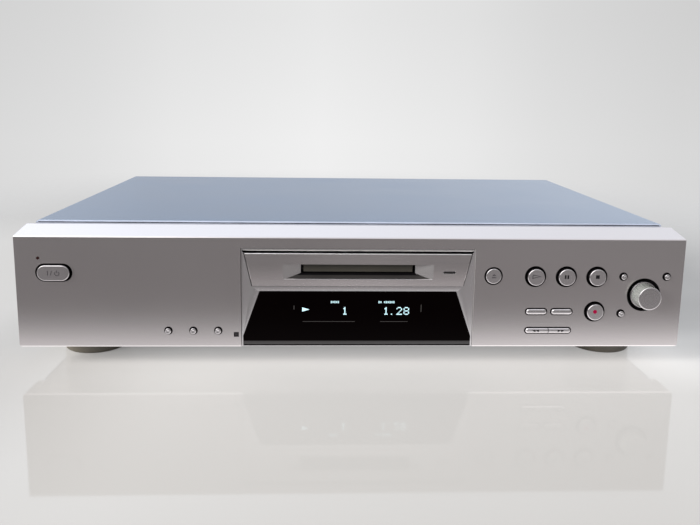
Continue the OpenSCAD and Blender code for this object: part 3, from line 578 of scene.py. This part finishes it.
def floor_material():
    """Pale glossy board that runs out into the backdrop, with painted light of its own. In the deck's
    gloss it shows a painted reflection, bright near the deck, its far front falling off into the dark of the room."""
    m = Mat("floor_white", (0.455, 0.44, 0.42, 1), 0.0, 0.05)
    m.b.inputs["Specular IOR Level"].default_value = 0.36
    m.b.inputs["Emission Color"].default_value = (1.0, 1.0, 1.0, 1)
    m.vary_colour(m.noise(3, 2), 0.006)
    m.vary_rough(m.noise(4, 3), 0.01)
    sep = m.node("ShaderNodeSeparateXYZ")
    m.link(m.tc.outputs["Object"], sep.inputs[0])
    # painted light: a glow of its own, most of it just in front of the deck and some along its sides, lifting the
    # shade there
    def along(lo, hi, stops):
        """A grey level that changes with Y."""
        r = m.node("ShaderNodeValToRGB")
        el = r.color_ramp.elements
        el[0].position, el[0].color = 0.0, (stops[0][1],) * 3 + (1,)
        el[1].position, el[1].color = 1.0, (stops[-1][1],) * 3 + (1,)
        for y, v in stops[1:-1]:
            el.new((y - lo) / (hi - lo)).color = (v, v, v, 1)
        m.link(m.ramp(sep.outputs["Y"], lo, hi, 0.0, 1.0), r.inputs["Fac"])
        return r.outputs["Color"]

    def across(x0, x1, a, b):
        """A factor that changes smoothly with X."""
        r = m.node("ShaderNodeMapRange", interpolation_type="SMOOTHSTEP")
        for k, v in zip(("From Min", "From Max", "To Min", "To Max"), (x0, x1, a, b)):
            r.inputs[k].default_value = v
        m.link(sep.outputs["X"], r.inputs["Value"])
        return r.outputs["Result"]

    def calc(op, a, b):
        n = m.node("ShaderNodeMath", operation=op)
        m.link(a, n.inputs[0])
        m.link(b, n.inputs[1])
        return n.outputs[0]
    front = along(-0.45, -0.05, [(-0.45, 0.10), (-0.30, 0.11), (-0.17, 0.19), (-0.14, 0.24), (-0.10, 0.27), (-0.07, 0.19), (-0.05, 0.09)])
    front = calc("MULTIPLY", calc("MULTIPLY", front, across(-0.24, -0.10, 0.22, 1.0)), across(0.19, 0.27, 1.0, 0.45))
    right = along(-0.18, 0.18, [(-0.18, 0.0), (-0.13, 0.12), (-0.08, 0.20), (-0.06, 0.17), (-0.03, 0.12), (0.01, 0.085), (0.05, 0.09), (0.10, 0.06), (0.18, 0.0)])
    right = calc("MULTIPLY", right, across(0.185, 0.23, 0.0, 1.0))
    left = along(-0.09, 0.40, [(-0.09, 0.0), (-0.05, 0.07), (0.0, 0.095), (0.25, 0.09), (0.40, 0.0)])
    left = calc("MULTIPLY", left, across(-0.28, -0.22, 1.0, 0.0))
    m.link(calc("ADD", calc("ADD", front, right), left), m.b.inputs["Emission Strength"])
    # painted reflection: glossy rays that reach the floor ahead of the deck see a glow ramp, dark far out and bright
    # close in
    f = m.ramp(sep.outputs["Y"], -0.26, -0.14, 0.0, 1.0)
    r = m.node("ShaderNodeValToRGB")
    el = r.color_ramp.elements
    el[0].position, el[0].color = 0.0, ROOM
    el[1].position, el[1].color = 1.0, (1.6, 1.595, 1.6, 1)
    for p, v in ((0.29, 0.36), (0.50, 0.59), (0.67, 0.82), (0.85, 1.05)):
        el.new(p).color = (v, v * 0.995, v, 1)
    m.link(f, r.inputs["Fac"])
    em = m.node("ShaderNodeEmission")
    m.link(r.outputs["Color"], em.inputs["Color"])
    m.link(m.ramp(sep.outputs["X"], -0.12, 0.25, 1.0, 1.26), em.inputs["Strength"])
    lp = m.node("ShaderNodeLightPath")
    gate = m.node("ShaderNodeMath", operation="MULTIPLY")
    ahead = m.ramp(sep.outputs["Y"], -0.10, -0.12, 0.0, 1.0)
    m.link(lp.outputs["Is Glossy Ray"], gate.inputs[0])
    m.link(ahead, gate.inputs[1])
    ms = m.node("ShaderNodeMixShader")
    m.link(gate.outputs[0], ms.inputs[0])
    m.link(m.b.outputs[0], ms.inputs[1])
    m.link(em.outputs[0], ms.inputs[2])
    # out of the deck's neighbourhood the board melts into the backdrop
    ln = m.node("ShaderNodeVectorMath", operation="LENGTH")
    m.link(m.tc.outputs["Object"], ln.inputs[0])
    out_fac = m.node("ShaderNodeMapRange", interpolation_type="SMOOTHSTEP")
    out_fac.inputs["From Min"].default_value = 0.34
    out_fac.inputs["From Max"].default_value = 1.1
    m.link(ln.outputs["Value"], out_fac.inputs["Value"])
    clear = m.node("ShaderNodeBsdfTransparent")
    ms2 = m.node("ShaderNodeMixShader")
    m.link(out_fac.outputs["Result"], ms2.inputs[0])
    m.link(ms.outputs[0], ms2.inputs[1])
    m.link(clear.outputs[0], ms2.inputs[2])
    out = [n for n in m.t.nodes if n.type == "OUTPUT_MATERIAL"][0]
    m.link(ms2.outputs[0], out.inputs["Surface"])
    return m.m


bm = bmesh.new()
pts = [(-2, -2, 0), (2, -2, 0), (2, 2, 0), (-2, 2, 0)]
bm.faces.new([bm.verts.new(p) for p in pts])
me = bpy.data.meshes.new("floor")
bm.to_mesh(me)
bm.free()
floor = bpy.data.objects.new("floor", me)
bpy.context.scene.collection.objects.link(floor)
dress(floor, floor_material())

# --------------------------------------------------------------- world, lights
w = bpy.data.worlds.new("studio")
bpy.context.scene.world = w
w.use_nodes = True
t = w.node_tree
bg = t.nodes["Background"]
tc = t.nodes.new("ShaderNodeTexCoord")
sep = t.nodes.new("ShaderNodeSeparateXYZ")
t.links.new(tc.outputs["Generated"], sep.inputs[0])


def wmath(op, a, b=None):
    n = t.nodes.new("ShaderNodeMath")
    n.operation = op
    for i, v in enumerate((a, b)):
        if v is None:
            continue
        if isinstance(v, (int, float)):
            n.inputs[i].default_value = v
        else:
            t.links.new(v, n.inputs[i])
    return n.outputs[0]


def wramp(fac, stops):
    r = t.nodes.new("ShaderNodeValToRGB")
    t.links.new(fac, r.inputs["Fac"])
    el = r.color_ramp.elements
    el[0].position, el[0].color = stops[0][0], stops[0][1]
    el[1].position, el[1].color = stops[-1][0], stops[-1][1]
    for pos, col in stops[1:-1]:
        el.new(pos).color = col
    return r.outputs["Color"]


def g(v, tint=(1, 1, 1)):
    return (v * tint[0], v * tint[1], v * tint[2], 1)


def wmix(fac, a, b, blend="MIX"):
    n = t.nodes.new("ShaderNodeMix")
    n.data_type = "RGBA"
    n.blend_type = blend
    if isinstance(fac, (int, float)):
        n.inputs[0].default_value = fac
    else:
        t.links.new(fac, n.inputs[0])
    for i, v in ((6, a), (7, b)):
        if isinstance(v, tuple):
            n.inputs[i].default_value = v
        else:
            t.links.new(v, n.inputs[i])
    return n.outputs[2]


def pos(el):
    """Ramp position of an elevation in degrees."""
    return (math.sin(math.radians(el)) + 1) / 2


elev = wmath("MULTIPLY", wmath("ADD", sep.outputs["Z"], 1.0), 0.5)
side = wmath("ABSOLUTE", sep.outputs["X"])
# what the camera sees: a pale seamless backdrop, palest in the middle
tall = wramp(elev, [(pos(-90), g(0.80)), (pos(-12), g(0.86)), (pos(-4), g(0.87)), (pos(6), g(0.80)), (pos(40), g(0.76))])
wide = wramp(side, [(0.0, g(1.0)), (0.21, g(0.935)), (0.32, g(0.86)), (0.47, g(0.79)), (0.8, g(0.76))])
backdrop = wmix(1.0, tall, wide, "MULTIPLY")
# what the deck reflects behind it: cool backdrop, and a broad softbox higher up
COOL = (0.94, 0.975, 1.03)
xpos = wmath("MULTIPLY", wmath("ADD", sep.outputs["X"], 1.0), 0.5)
low = wramp(elev, [(pos(-90), g(0.80)), (pos(-3), g(0.80)), (pos(4), g(0.88, COOL)), (pos(13), g(0.76, COOL)), (pos(22), g(0.80, COOL)), (pos(90), g(0.9))])
lowx = wramp(xpos, [(0.0, g(0.9)), (0.30, g(0.92)), (0.38, g(0.80)), (0.50, g(0.85)), (0.58, g(0.92)), (0.66, g(1.02)), (0.8, g(1.2)), (1.0, g(1.1))])
soft = wramp(elev, [(pos(-90), g(0.0)), (pos(20), g(0.0)), (pos(28), g(1.0)), (pos(58), g(1.0)), (pos(75), g(0.3))])
softx = wramp(xpos, [(0.0, g(0.9)), (0.30, g(1.06)), (0.5, g(0.78)), (0.68, g(0.40)), (1.0, g(0.2))])
glowbox = wmix(1.0, wmix(1.0, soft, softx, "MULTIPLY"), (SOFTBOX * 0.86, SOFTBOX * 0.96, SOFTBOX * 1.1, 1), "MULTIPLY")
behind = wmix(1.0, wmix(1.0, low, lowx, "MULTIPLY"), glowbox, "ADD")
# and ahead of it: a dark room low down, a pale ceiling, a lamp up to the left
room = wramp(elev, [(pos(-90), g(0.22)), (pos(3), g(0.215)), (pos(25), g(0.25)), (pos(42), g(0.42)), (pos(58), g(0.85, (0.98, 1.0, 1.05))), (pos(70), g(1.0, (0.98, 1.0, 1.06))), (pos(90), g(1.0, (0.98, 1.0, 1.06)))])
room = wmix(1.0, room, wramp(xpos, [(0.0, g(1.0)), (0.36, g(1.0)), (0.50, g(1.06)), (0.66, g(1.2)), (1.0, g(1.2))]), "MULTIPLY")
dot = t.nodes.new("ShaderNodeVectorMath")
dot.operation = "DOT_PRODUCT"
dot.inputs[1].default_value = Vector((-0.62, -0.42, 0.66)).normalized()
t.links.new(tc.outputs["Generated"], dot.inputs[0])
lamp = wramp(dot.outputs["Value"], [(0.0, g(0.0)), (0.80, g(0.0)), (0.93, g(1.0)), (1.0, g(1.0))])
room = wmix(1.0, room, wmix(1.0, lamp, g(LAMP), "MULTIPLY"), "ADD")
mr = t.nodes.new("ShaderNodeMapRange")
mr.inputs["From Min"].default_value = -0.25
mr.inputs["From Max"].default_value = 0.25
t.links.new(sep.outputs["Y"], mr.inputs["Value"])
lp = t.nodes.new("ShaderNodeLightPath")
again = wmath("GREATER_THAN", lp.outputs["Glossy Depth"], 1.5)      # seen in the floor and then in the deck
room = wmix(again, room, g(0.42))
gloss = wmix(mr.outputs["Result"], room, behind)
light = wmix(lp.outputs["Is Glossy Ray"], (0.34, 0.34, 0.345, 1), gloss)
t.links.new(wmix(lp.outputs["Is Camera Ray"], light, backdrop), bg.inputs["Color"])
bg.inputs["Strength"].default_value = 1.0
w.cycles.sampling_method = "NONE"


def area(name, loc, target, size, power, colour=(1, 1, 1)):
    l = bpy.data.lights.new(name, "AREA")
    l.shape = "RECTANGLE"
    l.size, l.size_y = size
    l.energy = power
    l.color = colour
    o = bpy.data.objects.new(name, l)
    bpy.context.scene.collection.objects.link(o)
    o.location = loc
    d = Vector(target) - Vector(loc)
    o.rotation_euler = d.to_track_quat("-Z", "Y").to_euler()
    return o


area("softbox_left", (-3.7, -2.3, 1.65), (0, 0.0, 0.03), (1.7, 1.7), 500).visible_glossy = False

# ----------------------------------------------------------------- camera
F, PX, PY = 675.87, 348.17, 200.45
a, b, c = (math.radians(v) for v in (-2.3028, -8.9889, -0.8114))
Rz = Matrix(((math.cos(a), -math.sin(a), 0), (math.sin(a), math.cos(a), 0), (0, 0, 1)))
Rx = Matrix(((1, 0, 0), (0, math.cos(b), -math.sin(b)), (0, math.sin(b), math.cos(b))))
Ry = Matrix(((math.cos(c), 0, math.sin(c)), (0, 1, 0), (-math.sin(c), 0, math.cos(c))))
R = Rz @ Rx @ Ry
right, fwd, up = R.col[0], R.col[1], R.col[2]
cam = bpy.data.cameras.new("camera")
co = bpy.data.objects.new("camera", cam)
bpy.context.scene.collection.objects.link(co)
pos = P(-22.48, -421.27, 163.53)
co.matrix_world = Matrix(((right.x, up.x, -fwd.x, pos.x), (right.y, up.y, -fwd.y, pos.y), (right.z, up.z, -fwd.z, pos.z), (0, 0, 0, 1)))
cam.sensor_fit = "HORIZONTAL"
cam.sensor_width = 36
cam.lens = F / 700 * 36
cam.shift_x = (350 - PX) / 700
cam.shift_y = (PY - 262.5) / 700
cam.clip_start = 0.01
bpy.context.scene.camera = co
bpy.context.scene.view_settings.view_transform = "Standard"
